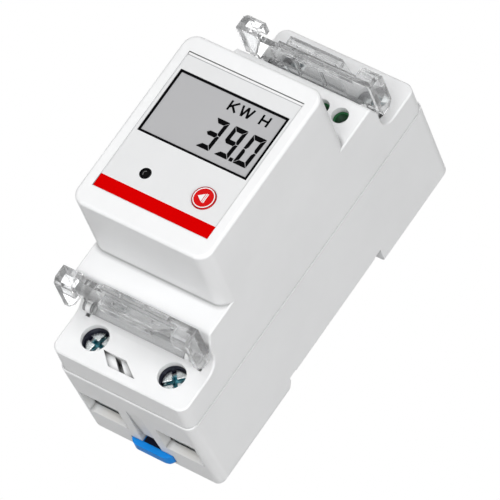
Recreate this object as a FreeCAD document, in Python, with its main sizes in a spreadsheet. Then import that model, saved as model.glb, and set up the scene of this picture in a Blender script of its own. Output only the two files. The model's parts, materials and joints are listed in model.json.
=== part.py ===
"""Two-module energy meter for a 35 mm top-hat rail, millimetres.

Frame: X across the meter, front towards -Y, +Z up along the meter as it hangs on the wall.
The origin is the middle of the seat that lies on the face of the rail.
"""
import FreeCAD, Part
import os
import re

import Sketcher

SIZES = [
    # outer form, heights measured from the middle of the rail
    ("body_width", 36.0),
    ("front_reach", 60.0),
    ("shelf_reach", 29.6),
    ("ledge_rise", 10.7),
    ("ledge_reach", "=shelf_reach + ledge_rise"),
    ("seam_reach", 22.0),
    ("back_reach", 4.4),
    ("block_top", 21.0),
    ("block_bottom", 25.2),
    ("ledge_top", 30.1),
    ("ledge_bottom", 31.6),
    ("step_lean", 1.5),
    ("step_drop", 4.0),
    ("top_end", 44.2),
    ("bottom_end", 46.7),
    ("base_taper", 1.4),
    ("heel_round", 0.6),
    ("block_round", 3.3),
    ("outer_round", 2.4),
    ("edge_round", 0.8),
    ("rim_bevel", 0.3),
    ("ledge_round", 1.0),
    ("trough_round", 3.7),
    ("seam_step", 0.15),
    ("end_step", 0.4),
    ("seam_bevel", 0.3),
    ("back_bevel", 0.6),
    # walls and inner rooms
    ("wall", 1.8),
    ("seat_floor", 2.0),
    ("centre_web", 8.6),
    # rail and its grip
    ("rail_height", 35.0),
    ("rail_play", 0.4),
    ("rail_gap", 1.15),
    ("grip_lap", 1.5),
    ("seat_relief", 0.3),
    ("relief_margin", 0.5),
    ("step_rise", 0.8),
    ("step_slant", 2.0),
    ("hook_width", 26.0),
    ("hook_thick", 1.2),
    ("hook_inset", 0.8),
    ("ramp_front", 19.0),
    ("ramp_tip", 3.4),
    ("ramp_width", 5.2),
    ("ramp_rise", 2.3),
    ("notch_length", 2.2),
    ("notch_rise", 6.6),
    # label panel and display
    ("label_margin", 2.9),
    ("label_top", 16.75),
    ("label_bottom", 20.2),
    ("label_recess", 0.7),
    ("label_thick", 0.5),
    ("label_drop", 0.65),
    ("window_margin", 3.7),
    ("window_top", 12.3),
    ("window_bottom", 4.5),
    ("frame_line", 0.55),
    ("pane_gap", 0.05),
    ("pane_sink", 0.2),
    ("board_thick", 1.6),
    ("board_gap", 0.2),
    ("board_space", 2.5),
    ("display_space", 4.0),
    ("post_radius", 1.2),
    ("post_inset", 0.6),
    ("fit_gap", 0.1),
    # push button and pulse lamp
    ("button_inset", 9.3),
    ("button_drop", 12.15),
    ("button_radius", 2.7),
    ("button_travel", 0.4),
    ("button_proud", 0.1),
    ("button_rim", 0.3),
    ("flange_radius", 3.5),
    ("flange_thick", 0.8),
    ("stem_radius", 1.8),
    ("stem_length", 1.7),
    ("switch_width", 6.0),
    ("dome_height", 0.5),
    ("dome_radius", 1.6),
    ("running_gap", 0.08),
    ("pulse_inset", 11.7),
    ("pulse_drop", 12.7),
    ("pulse_radius", 1.3),
    ("lamp_sink", 0.1),
    ("lamp_collar", 1.0),
    ("lamp_bevel", 0.3),
    # power terminals
    ("terminal_top", 37.7),
    ("terminal_bottom", 39.7),
    ("screw_hole_radius", 3.2),
    ("screw_head_radius", 2.9),
    ("screw_head_thick", 2.4),
    ("screw_sink", 3.6),
    ("screw_bevel", 0.35),
    ("drive_width", 1.0),
    ("drive_reach", 4.2),
    ("drive_depth", 1.5),
    ("blade_width", 0.9),
    ("blade_depth", 1.1),
    ("screw_radius", 2.3),
    ("screw_length", 8.2),
    ("cage_width", 8.6),
    ("cage_depth", 7.6),
    ("cage_wall", 1.5),
    ("cage_nut", 2.6),
    ("cage_reach", 3.2),
    ("screw_play", 0.03),
    ("head_gap", 0.3),
    ("bar_gap", 0.3),
    ("bar_width", 5.2),
    ("bar_thick", 1.8),
    ("bar_way_end", 20.0),
    ("entry_inset", 0.75),
    ("entry_front", 12.4),
    ("entry_back", 3.8),
    # signal terminals under the upper ledge
    ("signal_spacing", 5.08),
    ("signal_inset", 5.3),
    ("signal_z", 25.9),
    ("signal_hole_radius", 1.95),
    ("signal_depth", 8.0),
    ("signal_screw_radius", 1.5),
    ("signal_screw_length", 3.2),
    ("signal_well", 6.0),
    ("wire_way_front", 4.4),
    ("wire_way_back", 7.0),
    ("wire_way_half", 1.35),
    # slanted slot in the lower shelf and slits in the troughs
    ("slot_inset", 3.35),
    ("slot_width", 6.0),
    ("slot_shift", 3.2),
    ("slot_spread", 1.0),
    ("slot_start", 1.5),
    ("slot_end", 4.4),
    ("slot_depth", 1.1),
    ("gash_width", 1.5),
    ("gash_depth", 4.5),
    ("gash_inset", 2.75),
    ("slit_inset", 3.7),
    ("slit_width", 1.1),
    ("slit_step", 0.7),
    ("slit_height", 2.3),
    ("slit_depth", 6.0),
    # parts on the boards
    ("film_width", 7.5),
    ("film_height", 18.0),
    ("film_rise", 13.0),
    ("film_inset", 7.8),
    ("film_z", 1.0),
    ("can_radius", 5.0),
    ("can_rise", 14.0),
    ("can_inset", 9.4),
    ("can_z", 4.5),
    ("chip_width", 7.5),
    ("chip_height", 10.0),
    ("chip_rise", 2.2),
    ("chip_inset", 11.8),
    ("chip_z", 11.0),
    ("pin_spacing", 2.54),
    ("pin_width", 0.64),
    ("pin_inset", 12.4),
    ("pin_z", 20.0),
    ("pin_spacer", 8.5),
    # hinged clear covers
    ("hinge_step", 2.0),
    ("hinge_rise", 3.8),
    ("pin_radius", 0.75),
    ("pin_play", 0.06),
    ("ear_radius", 1.5),
    ("ear_thick", 1.2),
    ("ear_inset", 4.8),
    ("ear_space", 0.25),
    ("ear_sink", 0.6),
    ("cover_thick", 1.4),
    ("cover_gap", 0.2),
    ("cover_length", 12.1),
    ("cover_skirt", 2.9),
    ("lug_width", 4.8),
    ("lug_wall", 1.3),
    ("lug_bevel", 1.1),
    ("lug_length", 4.4),
    ("skirt_start", 0.3),
    ("plate_start", 2.6),
    ("hood_inset", 11.4),
    ("hood_slope", 5.0),
    ("hood_thick", 1.1),
    ("hood_lip", 2.6),
    ("hood_drop", 1.6),
    ("slot_gap", 0.7),
    ("slot_rise", 0.6),
    ("slot_length", 3.6),
    ("panel_spacing", 6.5),
    ("panel_width", 5.8),
    ("panel_sink", 0.6),
    # rail clip
    ("clip_width", 11.2),
    ("clip_thick", 2.6),
    ("clip_front", 0.05),
    ("clip_below", 1.6),
    ("pocket_depth", 1.7),
    ("nose_thick", 0.85),
    ("clip_round", 2.2),
    ("clip_bevel", 0.4),
    ("tab_height", 1.5),
    ("tab_rise", 6.0),
    ("slide_gap", 0.15),
    ("clip_lip", 1.9),
]

doc = FreeCAD.newDocument("EnergyMeter")
sheet = doc.addObject("Spreadsheet::Sheet", "Sizes")
for row, (alias, number) in enumerate(SIZES, 1):
    sheet.set("A%d" % row, alias)
    sheet.set("B%d" % row, str(number))
    sheet.setAlias("B%d" % row, alias)
doc.recompute()
ALIASES = {alias for alias, number in SIZES}
CLOSE = 0.01


def link(text):
    """An expression in which each size is read from the sheet."""
    return re.sub(r"[a-z_]+", lambda word: "Sizes." + word[0] if word[0] in ALIASES else word[0], text)


def value(text):
    """The number that an expression gives now."""
    return float(sheet.evalExpression(link(text)))


def origin_plane(body, plane):
    return [item for item in body.Origin.OriginFeatures if item.Role == plane + "_Plane"][0]


def new_body(label):
    body = doc.addObject("PartDesign::Body", label)
    body.Label = label
    return body


def new_sketch(body, name, plane, level):
    """A sketch on one of the body's own planes, moved along the global axis to level."""
    sketch = body.newObject("Sketcher::SketchObject", name)
    sketch.AttachmentSupport = [(origin_plane(body, plane), "")]
    sketch.MapMode = "FlatFace"
    away = "-(%s)" if plane == "XZ" else "%s"
    sketch.setExpression("AttachmentOffset.Base.z", link(away % level))
    return sketch


def bind(sketch, kind, places, text):
    """One dimension of a sketch, bound to an expression."""
    index = sketch.addConstraint(Sketcher.Constraint(kind, *places, value(text)))
    sketch.setExpression("Constraints[%d]" % index, link(text))


def draw_outline(sketch, corners):
    """A closed polygon whose corners are pairs of expressions."""
    first = sketch.GeometryCount
    spots = [FreeCAD.Vector(value(across), value(up), 0) for across, up in corners]
    count = len(spots)
    for turn in range(count):
        sketch.addGeometry(Part.LineSegment(spots[turn], spots[(turn + 1) % count]), False)
    for turn in range(count):
        after = first + (turn + 1) % count
        sketch.addConstraint(Sketcher.Constraint("Coincident", first + turn, 2, after, 1))
    for turn, (across, up) in enumerate(corners):
        bind(sketch, "DistanceX", (-1, 1, first + turn, 1), across)
        bind(sketch, "DistanceY", (-1, 1, first + turn, 1), up)


def draw_circle(sketch, centre, radius):
    across, up = centre
    middle = FreeCAD.Vector(value(across), value(up), 0)
    index = sketch.addGeometry(Part.Circle(middle, FreeCAD.Vector(0, 0, 1), value(radius)), False)
    bind(sketch, "DistanceX", (-1, 1, index, 3), across)
    bind(sketch, "DistanceY", (-1, 1, index, 3), up)
    bind(sketch, "Radius", (index,), radius)


def block(low_across, high_across, low_up, high_up):
    """The four corners of an upright rectangle."""
    return [(low_across, low_up), (high_across, low_up), (high_across, high_up), (low_across, high_up)]


def centred(across, up, width, height):
    """A rectangle about its middle."""
    return block("%s - %s / 2" % (across, width), "%s + %s / 2" % (across, width),
                 "%s - %s / 2" % (up, height), "%s + %s / 2" % (up, height))


def raise_shape(body, name, plane, low, high, outlines=(), circles=()):
    """Material between two levels of the global axis that the plane faces."""
    sketch = new_sketch(body, name + "_sketch", plane, high if plane == "XZ" else low)
    for outline in outlines:
        draw_outline(sketch, outline)
    for centre, radius in circles:
        draw_circle(sketch, centre, radius)
    pad = body.newObject("PartDesign::Pad", name)
    pad.Profile = sketch
    pad.setExpression("Length", link("(%s) - (%s)" % (high, low)))
    doc.recompute()
    return pad


def cut_shape(body, name, plane, low, high, outlines=(), circles=()):
    """A hollow between two levels of the global axis that the plane faces."""
    before = body.Shape.Volume
    sketch = new_sketch(body, name + "_sketch", plane, low if plane == "XZ" else high)
    for outline in outlines:
        draw_outline(sketch, outline)
    for centre, radius in circles:
        draw_circle(sketch, centre, radius)
    pocket = body.newObject("PartDesign::Pocket", name)
    pocket.Profile = sketch
    pocket.setExpression("Length", link("(%s) - (%s)" % (high, low)))
    doc.recompute()
    if not body.Shape.Volume < before:
        raise RuntimeError("%s takes nothing away from %s" % (name, body.Label))
    return pocket


def edge_names(shape, wanted):
    return ["Edge%d" % (index + 1) for index, edge in enumerate(shape.Edges) if wanted(edge)]


def dress_edges(body, name, kind, size, wanted):
    """A fillet or chamfer on every edge of the body that wanted picks."""
    base = body.Tip
    names = edge_names(base.Shape, wanted)
    if not names:
        raise RuntimeError("%s finds no edge on %s" % (name, body.Label))
    dress = body.newObject("PartDesign::" + kind, name)
    dress.Base = (base, names)
    dress.setExpression("Radius" if kind == "Fillet" else "Size", link(size))
    doc.recompute()
    if dress.Shape.isNull() or "Invalid" in dress.State:
        raise RuntimeError("%s fails on %s" % (name, body.Label))
    return dress


def near(first, second):
    return abs(first - second) < CLOSE


def along(edge, axis):
    """Whether a straight edge runs along an axis."""
    box = edge.BoundBox
    spans = {"x": box.XLength, "y": box.YLength, "z": box.ZLength}
    own = spans.pop(axis)
    return own > 0.2 and all(span < CLOSE * own for span in spans.values())


def at_level(edge, level):
    """Whether an edge lies flat at one distance from the rail."""
    return edge.BoundBox.YLength < CLOSE and near(edge.BoundBox.YMin, level)


def sits(edge, **places):
    """Whether the middle of an edge lies at the given coordinates."""
    middle = edge.BoundBox.Center
    return all(any(near(getattr(middle, axis), spot) for spot in spots) for axis, spots in places.items())


SIGNAL_WAYS = 4
HEADER_PINS = 6
HALF = "(body_width / 2)"
FRONT_HALF = "(body_width / 2 - seam_step)"
INNER_HALF = "(body_width / 2 - wall)"
TERMINAL_X = "((body_width / 2 - wall + centre_web / 2) / 2)"
LABEL_HALF = "(body_width / 2 - label_margin)"
WINDOW_HALF = "(body_width / 2 - window_margin)"
BUTTON_X = "(body_width / 2 - button_inset)"
PULSE_X = "(body_width / 2 - pulse_inset)"
COVER_HALF = "(body_width / 2 - cover_gap)"
EAR_X = "(body_width / 2 - ear_inset)"
FRONT = "-front_reach"
LEDGE = "-ledge_reach"
SHELF = "-shelf_reach"
SEAM = "-seam_reach"
TOP_WALL = "ledge_top + step_lean"
BOTTOM_WALL = "-(ledge_bottom + step_lean)"
HINGE_Y = "-(shelf_reach + hinge_rise)"
BEHIND_PANEL = "-(front_reach - label_recess - wall)"
DISPLAY_BOARD = "-(front_reach - label_recess - wall - display_space)"
MAIN_BOARD = "-(ledge_reach - wall - signal_depth - board_space)"
STEM_END = BEHIND_PANEL + " + stem_length"
CAGE_BACK = "-cage_reach"
BAR_BACK = "-(cage_reach + cage_wall)"
RAIL_TOP = "rail_height / 2 + rail_play"
RAIL_BOTTOM = "-(rail_height / 2 + rail_play)"
SEAT_EDGE = "(rail_height / 2 - grip_lap - relief_margin)"
BACK_END = "-(bottom_end - base_taper)"
CLIP_END = "-(bottom_end - base_taper + clip_below)"
CLIP_BACK = "(clip_front + clip_thick)"
CHANNEL_FRONT = "(clip_front - slide_gap)"
ENDS = {
    "top": {
        "sign": "",
        "wall": TOP_WALL,
        "end": "top_end",
        "terminal": "terminal_top",
    },
    "bottom": {
        "sign": "-",
        "wall": BOTTOM_WALL,
        "end": "-bottom_end",
        "terminal": "-terminal_bottom",
    },
}


def outward(end, start, distance):
    """A height that lies distance further towards the given end than start."""
    return "%s %s (%s)" % (start, "-" if ENDS[end]["sign"] else "+", distance)


def hinge_height(end):
    return outward(end, ENDS[end]["wall"], "hinge_step")


def both_sides(low, high):
    """The same span on the right and on the left of the meter."""
    return [(low, high), ("-(%s)" % high, "-(%s)" % low)]


def front_housing():
    """The white front moulding: display block, two ledges, two hinge troughs and two shelves."""
    body = new_body("front_housing")
    outline = [
        (SEAM, "-(bottom_end - end_step)"),
        (SHELF, "-(bottom_end - end_step)"),
        (SHELF, BOTTOM_WALL),
        ("-(ledge_reach - step_drop)", BOTTOM_WALL),
        (LEDGE, "-ledge_bottom"),
        (LEDGE, "-block_bottom"),
        (FRONT, "-block_bottom"),
        (FRONT, "block_top"),
        (LEDGE, "block_top"),
        (LEDGE, "ledge_top"),
        ("-(ledge_reach - step_drop)", TOP_WALL),
        (SHELF, TOP_WALL),
        (SHELF, "top_end - end_step"),
        (SEAM, "top_end - end_step"),
    ]
    raise_shape(body, "housing_form", "YZ", "-" + FRONT_HALF, FRONT_HALF, [outline])
    round_front_form(body)
    hollow_front(body)
    open_display(body)
    open_terminals(body)
    add_board_posts(body)
    for end in ENDS:
        add_hinge_ears(body, end)


def round_front_form(body):
    half = value(FRONT_HALF)
    block_ends = (value("block_top"), -value("block_bottom"))
    outer_ends = (value("top_end - end_step"), -value("bottom_end - end_step"))
    ledge_ends = (value("ledge_top"), -value("ledge_bottom"))
    dress_edges(body, "ledge_edges", "Fillet", "ledge_round",
                lambda edge: along(edge, "x") and sits(edge, y=(value(LEDGE),), z=ledge_ends))
    walls = (value(TOP_WALL), value(BOTTOM_WALL))
    dress_edges(body, "troughs", "Fillet", "trough_round",
                lambda edge: along(edge, "x") and sits(edge, y=(value(SHELF),), z=walls))
    dress_edges(body, "block_corners", "Fillet", "block_round",
                lambda edge: along(edge, "y") and sits(edge, x=(half, -half), z=block_ends))
    dress_edges(body, "outer_corners", "Fillet", "outer_round",
                lambda edge: along(edge, "y") and sits(edge, x=(half, -half), z=outer_ends))
    dress_edges(body, "bezel_rim", "Fillet", "edge_round", lambda edge: at_level(edge, value(FRONT)))
    dress_edges(body, "ledge_sides", "Chamfer", "rim_bevel",
                lambda edge: along(edge, "z") and sits(edge, x=(half, -half), y=(value(LEDGE),)))
    dress_edges(body, "shelf_rims", "Chamfer", "rim_bevel", lambda edge: shelf_rim(edge, outer_ends))


def shelf_rim(edge, outer_ends):
    """Whether an edge belongs to the rim of a shelf, apart from the side where its trough begins."""
    at_trough = along(edge, "x") and not sits(edge, z=outer_ends)
    return at_level(edge, value(SHELF)) and not at_trough


def hollow_front(body):
    """The rooms behind block and ledges, and one room behind each screw hole."""
    block_room = block("-" + INNER_HALF, INNER_HALF, "-(block_bottom - wall)", "block_top - wall")
    cut_shape(body, "block_room", "XZ", BEHIND_PANEL, SEAM, [block_room])
    ledge_room = block("-" + INNER_HALF, INNER_HALF, "-(ledge_bottom - wall)", "ledge_top - wall")
    cut_shape(body, "ledge_room", "XZ", "-(ledge_reach - wall)", SEAM, [ledge_room])
    rooms = terminal_rooms()
    cut_shape(body, "terminal_rooms", "XZ", "-(shelf_reach - wall)", SEAM, rooms)


def terminal_rooms():
    """Outlines of the four rooms that hold the cage clamps."""
    rooms = []
    for end, facts in ENDS.items():
        near_side = outward(end, facts["terminal"], "-(cage_depth / 2 + slide_gap)")
        far_side = outward(end, facts["terminal"], "cage_depth / 2 + slide_gap")
        for low, high in both_sides("centre_web / 2", INNER_HALF):
            rooms.append(block(low, high, near_side, far_side))
    return rooms


def open_display(body):
    """The recess for the label, the window behind it, and the holes for button and lamp."""
    label = block("-" + LABEL_HALF, LABEL_HALF, "-label_bottom", "label_top")
    cut_shape(body, "label_recess", "XZ", FRONT, "-(front_reach - label_recess)", [label])
    window = block("-" + WINDOW_HALF, WINDOW_HALF, "-window_bottom", "window_top")
    cut_shape(body, "window", "XZ", FRONT, BEHIND_PANEL, [window])
    cut_shape(body, "button_and_lamp_holes", "XZ", FRONT, BEHIND_PANEL, circles=panel_holes())


def panel_holes():
    """The round holes for the push button and the pulse lamp."""
    return [
        ((BUTTON_X, "-button_drop"), "button_radius + running_gap"),
        (("-" + PULSE_X, "-pulse_drop"), "pulse_radius"),
    ]


def open_terminals(body):
    """Screw holes in the shelves and ledge, and the signal wires' way in."""
    screw_holes = []
    for facts in ENDS.values():
        for side in ("", "-"):
            screw_holes.append(((side + TERMINAL_X, facts["terminal"]), "screw_hole_radius"))
    cut_shape(body, "screw_holes", "XZ", HINGE_Y, "-(shelf_reach - wall)", circles=screw_holes)
    signal_holes = [((spot, "signal_z"), "signal_hole_radius") for spot in signal_places()]
    cut_shape(body, "signal_holes", "XZ", LEDGE, "-(ledge_reach - wall)", circles=signal_holes)
    cut_shape(body, "signal_wire_ways", "XY", "ledge_top - wall - 0.1", TOP_WALL, wire_ways())
    left = "(slot_inset - %s)" % TERMINAL_X
    near_edge = "-(terminal_bottom + slot_start)"
    far_edge = "-(terminal_bottom + slot_end)"
    pocket = [
        (left, near_edge),
        (left + " + slot_width", near_edge),
        (left + " + slot_width + slot_shift + slot_spread", far_edge),
        (left + " + slot_shift", far_edge),
    ]
    cut_shape(body, "shelf_slot", "XZ", SHELF, "-(shelf_reach - slot_depth)", [pocket])
    gash = [
        (left + " + gash_inset", near_edge),
        (left + " + gash_inset + gash_width", near_edge),
        (left + " + gash_inset + gash_width + slot_shift", far_edge),
        (left + " + gash_inset + slot_shift", far_edge),
    ]
    cut_shape(body, "shelf_gash", "XZ", SHELF, "-(shelf_reach - gash_depth)", [gash])
    upper_pocket = block(left, left + " + slot_width",
                         "terminal_top + slot_start", "terminal_top + slot_end")
    cut_shape(body, "upper_slot", "XZ", SHELF, "-(shelf_reach - slot_depth)", [upper_pocket])
    slits = []
    for end, facts in ENDS.items():
        low = outward(end, facts["wall"], "slit_step")
        high = outward(end, facts["wall"], "slit_step + slit_height")
        inner_edge = HALF + " - slit_inset"
        slits += [block(left_edge, right_edge, low, high)
                  for left_edge, right_edge in both_sides(inner_edge, inner_edge + " + slit_width")]
    slit_levels = ("-(shelf_reach + trough_round)", "-(shelf_reach - slit_depth)")
    cut_shape(body, "trough_slits", "XZ", *slit_levels, slits)


def signal_places():
    return ["(%s - signal_inset - %d * signal_spacing)" % (HALF, step) for step in range(SIGNAL_WAYS)]


def wire_ways():
    """Plan outlines of the four openings that lead the signal wires in from above."""
    return [
        block(spot + " - wire_way_half", spot + " + wire_way_half",
              "-(ledge_reach - wire_way_front)", "-(ledge_reach - wire_way_back)")
        for spot in signal_places()
    ]


def add_board_posts(body):
    """Posts that carry the display board and the main board."""
    inset = "wall - post_radius - post_inset"
    sides = ["(body_width / 2 - %s)" % inset, "-(body_width / 2 - %s)" % inset]
    heights = ["block_top - " + inset, "-(block_bottom - %s)" % inset]
    corners = [(side, height) for side in sides for height in heights]
    raise_shape(body, "display_posts", "XZ", BEHIND_PANEL, DISPLAY_BOARD,
                circles=[(corner, "post_radius") for corner in corners])
    low_corners = [(side, "-(ledge_bottom - %s)" % inset) for side in sides]
    raise_shape(body, "main_posts", "XZ", "-(ledge_reach - wall)", MAIN_BOARD,
                circles=[(corner, "post_radius") for corner in low_corners])


def add_hinge_ears(body, end):
    """Two ears in the trough, bored for the pins of the clear cover."""
    height = hinge_height(end)
    wall_z = ENDS[end]["wall"]
    low_side = "%s - ear_radius" % HINGE_Y
    high_side = "%s + ear_radius" % HINGE_Y
    web = [
        (low_side, height),
        (low_side, wall_z),
        ("-(shelf_reach - ear_sink)", wall_z),
        ("-(shelf_reach - ear_sink)", height),
        (high_side, height),
    ]
    for name, side in (("right", ""), ("left", "-")):
        inner = "%s%s - ear_thick / 2" % (side, EAR_X)
        outer = "%s%s + ear_thick / 2" % (side, EAR_X)
        label = "%s_%s_ear" % (end, name)
        raise_shape(body, label + "_web", "YZ", inner, outer, [web])
        raise_shape(body, label, "YZ", inner, outer, circles=[((HINGE_Y, height), "ear_radius")])
        cut_shape(body, label + "_bore", "YZ", inner, outer,
                  circles=[((HINGE_Y, height), "pin_radius + pin_play")])


def base_housing():
    """The white rear moulding with the rail recess, clip channel and wire entries."""
    body = new_body("base_housing")
    outline = [
        (SEAM, "-bottom_end"),
        (SEAM, "top_end"),
        ("back_reach", "top_end"),
        ("back_reach", RAIL_TOP),
        ("-seat_relief", RAIL_TOP),
        ("-seat_relief", SEAT_EDGE),
        ("0", SEAT_EDGE),
        ("0", "-" + SEAT_EDGE),
        ("-seat_relief", "-" + SEAT_EDGE),
        ("-seat_relief", RAIL_BOTTOM),
        ("step_rise", RAIL_BOTTOM),
        ("back_reach", RAIL_BOTTOM + " - step_slant"),
        ("back_reach", BACK_END),
    ]
    raise_shape(body, "base_form", "YZ", "-" + HALF, HALF, [outline])
    heel = {"y": (value("back_reach"),), "z": (value(BACK_END),)}
    dress_edges(body, "heel", "Fillet", "heel_round", lambda edge: along(edge, "x") and sits(edge, **heel))
    dress_edges(body, "base_corners", "Fillet", "outer_round", base_corner)
    dress_edges(body, "back_edges", "Chamfer", "back_bevel", back_edge)
    dress_edges(body, "seam_rim", "Chamfer", "seam_bevel", lambda edge: at_level(edge, value(SEAM)))
    hollow_base(body)
    cut_wire_entries(body)
    add_rail_hook(body)
    cut_clip_channel(body)


def base_corner(edge):
    """Whether an edge runs from the seam to the back."""
    box = edge.BoundBox
    straight = box.XLength < CLOSE and box.ZLength < value("base_taper") + CLOSE
    return straight and box.YLength > value("seam_reach")


def back_edge(edge):
    """The rim of the back face above the rail, but not along the rail."""
    box = edge.BoundBox
    return at_level(edge, value("back_reach")) and box.ZMin > value(RAIL_TOP) - CLOSE \
        and not sits(edge, z=(value(RAIL_TOP),))


def hollow_base(body):
    room = block("-" + INNER_HALF, INNER_HALF, "-(ledge_bottom - wall)", "ledge_top - wall")
    cut_shape(body, "base_room", "XZ", SEAM, "-seat_floor", [room])
    cut_shape(body, "base_terminal_rooms", "XZ", SEAM, "-cage_reach", terminal_rooms())
    for end, facts in ENDS.items():
        near_side = outward(end, facts["terminal"], "0")
        room_side = outward(end, "0", "bar_way_end")
        ways = []
        for side in ("", "-"):
            centre = side + TERMINAL_X
            half_way = "(bar_width / 2 + bar_gap)"
            ways.append(block(centre + " - " + half_way, centre + " + " + half_way,
                              "-(cage_reach + cage_wall + bar_thick + bar_gap)",
                              "-(cage_reach + cage_wall - fit_gap)"))
        low, high = (room_side, near_side) if end == "top" else (near_side, room_side)
        cut_shape(body, end + "_bar_ways", "XY", low, high, ways)


def cut_wire_entries(body):
    """A straight opening in front of each power terminal, through the end wall into its room."""
    for end, facts in ENDS.items():
        entries = []
        for low, high in both_sides("centre_web / 2 + entry_inset", INNER_HALF + " - entry_inset"):
            entries.append(block(low, high, "-entry_front", "-entry_back"))
        deep = outward(end, facts["terminal"], "cage_depth / 2")
        outside = outward(end, facts["end"], "1")
        low_level, high_level = sorted((deep, outside), key=value)
        cut_shape(body, end + "_entries", "XY", low_level, high_level, entries)


def add_rail_hook(body):
    """The fixed hook that reaches behind the upper lip of the rail."""
    hook = [
        ("rail_gap", RAIL_TOP + " + hook_inset"),
        ("rail_gap", "rail_height / 2 - grip_lap"),
        ("rail_gap + hook_thick", "rail_height / 2 - grip_lap"),
        ("back_reach - hook_inset", RAIL_TOP),
        ("back_reach - hook_inset", RAIL_TOP + " + hook_inset"),
    ]
    raise_shape(body, "rail_hook", "YZ", "-hook_width / 2", "hook_width / 2", [hook])


def cut_clip_channel(body):
    """The channel of the rail clip, open to the back between two lips, and the way to its pull tab."""
    side = "(clip_width / 2 + slide_gap)"
    channel = block("-" + side, side, CHANNEL_FRONT, CLIP_BACK + " + slide_gap")
    cut_shape(body, "clip_channel", "XY", "-bottom_end - 1", RAIL_BOTTOM + " + fit_gap", [channel])
    gap = "(%s - clip_lip)" % side
    slot = block("-" + gap, gap, CLIP_BACK, "back_reach + 1")
    cut_shape(body, "clip_slot", "XY", "-bottom_end - 1", RAIL_BOTTOM, [slot])
    notch = block("-ramp_width / 2", "ramp_width / 2", CHANNEL_FRONT + " - notch_length", "clip_front")
    cut_shape(body, "blade_notch", "XY", "-bottom_end - 1", "-(bottom_end - notch_rise)", [notch])
    cut_ramp(body)


def cut_ramp(body):
    """The groove that leads a blade to the pull tab: it widens and deepens towards the tab."""
    below = "-(bottom_end + 1)"
    sections = [
        ("ramp_tip_section", "-ramp_front", "ramp_tip / 2", "-(bottom_end + fit_gap)"),
        ("ramp_end_section", CHANNEL_FRONT, "ramp_width / 2", "-(bottom_end - ramp_rise)"),
    ]
    sketches = []
    for name, level, half, roof in sections:
        sketch = new_sketch(body, name, "XZ", level)
        draw_outline(sketch, block("-" + half, half, below, roof))
        sketches.append(sketch)
    ramp = body.newObject("PartDesign::SubtractiveLoft", "blade_ramp")
    ramp.Profile = sketches[0]
    ramp.Sections = [sketches[1]]
    doc.recompute()


def display_parts():
    """Label panel, display frame, display glass, its backlight and the board behind."""
    label_back = "-(front_reach - label_recess)"
    label_front = "-(front_reach - label_recess + label_thick)"
    window = block("-" + WINDOW_HALF, WINDOW_HALF, "-window_bottom", "window_top")
    label = new_body("label_panel")
    sheet_outline = block("-(%s - fit_gap)" % LABEL_HALF, LABEL_HALF + " - fit_gap",
                          "-(label_bottom - fit_gap)", "label_top - label_drop")
    raise_shape(label, "panel", "XZ", label_front, label_back, [sheet_outline])
    cut_shape(label, "panel_window", "XZ", label_front, label_back, [window])
    cut_shape(label, "panel_holes", "XZ", label_front, label_back, circles=panel_holes())

    frame = new_body("display_frame")
    outer = shrunk_window("fit_gap")
    opening = shrunk_window("frame_line")
    raise_shape(frame, "frame_ring", "XZ", label_front, BEHIND_PANEL, [outer])
    cut_shape(frame, "frame_opening", "XZ", label_front, BEHIND_PANEL, [opening])

    glass = new_body("display_glass")
    raise_shape(glass, "pane", "XZ", label_front + " + pane_sink", BEHIND_PANEL,
                [shrunk_window("frame_line + pane_gap")])

    light = new_body("display_backlight")
    raise_shape(light, "light_guide", "XZ", BEHIND_PANEL, DISPLAY_BOARD, [outer])

    board = new_body("display_board")
    board_half = INNER_HALF + " - board_gap"
    board_outline = block("-(%s)" % board_half, board_half,
                          "-(block_bottom - wall - board_gap)", "block_top - wall - board_gap")
    raise_shape(board, "board", "XZ", DISPLAY_BOARD, DISPLAY_BOARD + " + board_thick", [board_outline])


def shrunk_window(inset):
    """The window's outline, drawn in by inset on all sides."""
    return block("-(%s - (%s))" % (WINDOW_HALF, inset), "%s - (%s)" % (WINDOW_HALF, inset),
                 "-(window_bottom - (%s))" % inset, "window_top - (%s)" % inset)


def push_button():
    """The round button: a cap in the panel's hole, a flange behind the wall and a stem to the switch."""
    body = new_body("push_button")
    spot = (BUTTON_X, "-button_drop")
    face = "-(front_reach + button_proud)"
    flange_front = BEHIND_PANEL + " + fit_gap"
    flange_back = flange_front + " + flange_thick"
    raise_shape(body, "cap", "XZ", face, BEHIND_PANEL, circles=[(spot, "button_radius")])
    dress_edges(body, "cap_rim", "Chamfer", "button_rim", lambda edge: at_level(edge, value(face)))
    raise_shape(body, "flange", "XZ", flange_front, flange_back, circles=[(spot, "flange_radius")])
    raise_shape(body, "neck", "XZ", BEHIND_PANEL + " - fit_gap", STEM_END, circles=[(spot, "stem_radius")])


def switch_and_lamp():
    """The flat switch under the button and the pulse lamp, both on the display board."""
    switch = new_body("button_switch")
    spot = (BUTTON_X, "-button_drop")
    dome_top = STEM_END + " + button_travel + running_gap"
    case = centred(BUTTON_X, "-button_drop", "switch_width", "switch_width")
    raise_shape(switch, "case", "XZ", dome_top + " + dome_height", DISPLAY_BOARD, [case])
    raise_shape(switch, "dome", "XZ", dome_top, DISPLAY_BOARD, circles=[(spot, "dome_radius")])

    lamp = new_body("pulse_lamp")
    place = ("-" + PULSE_X, "-pulse_drop")
    tip = "-(front_reach - label_recess + label_thick - lamp_sink)"
    raise_shape(lamp, "lens", "XZ", tip, DISPLAY_BOARD, circles=[(place, "pulse_radius - fit_gap")])
    raise_shape(lamp, "collar", "XZ", DISPLAY_BOARD + " - lamp_collar", DISPLAY_BOARD,
                circles=[(place, "pulse_radius + lamp_collar / 2")])
    dress_edges(lamp, "lens_tip", "Chamfer", "lamp_bevel", lambda edge: at_level(edge, value(tip)))


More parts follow.
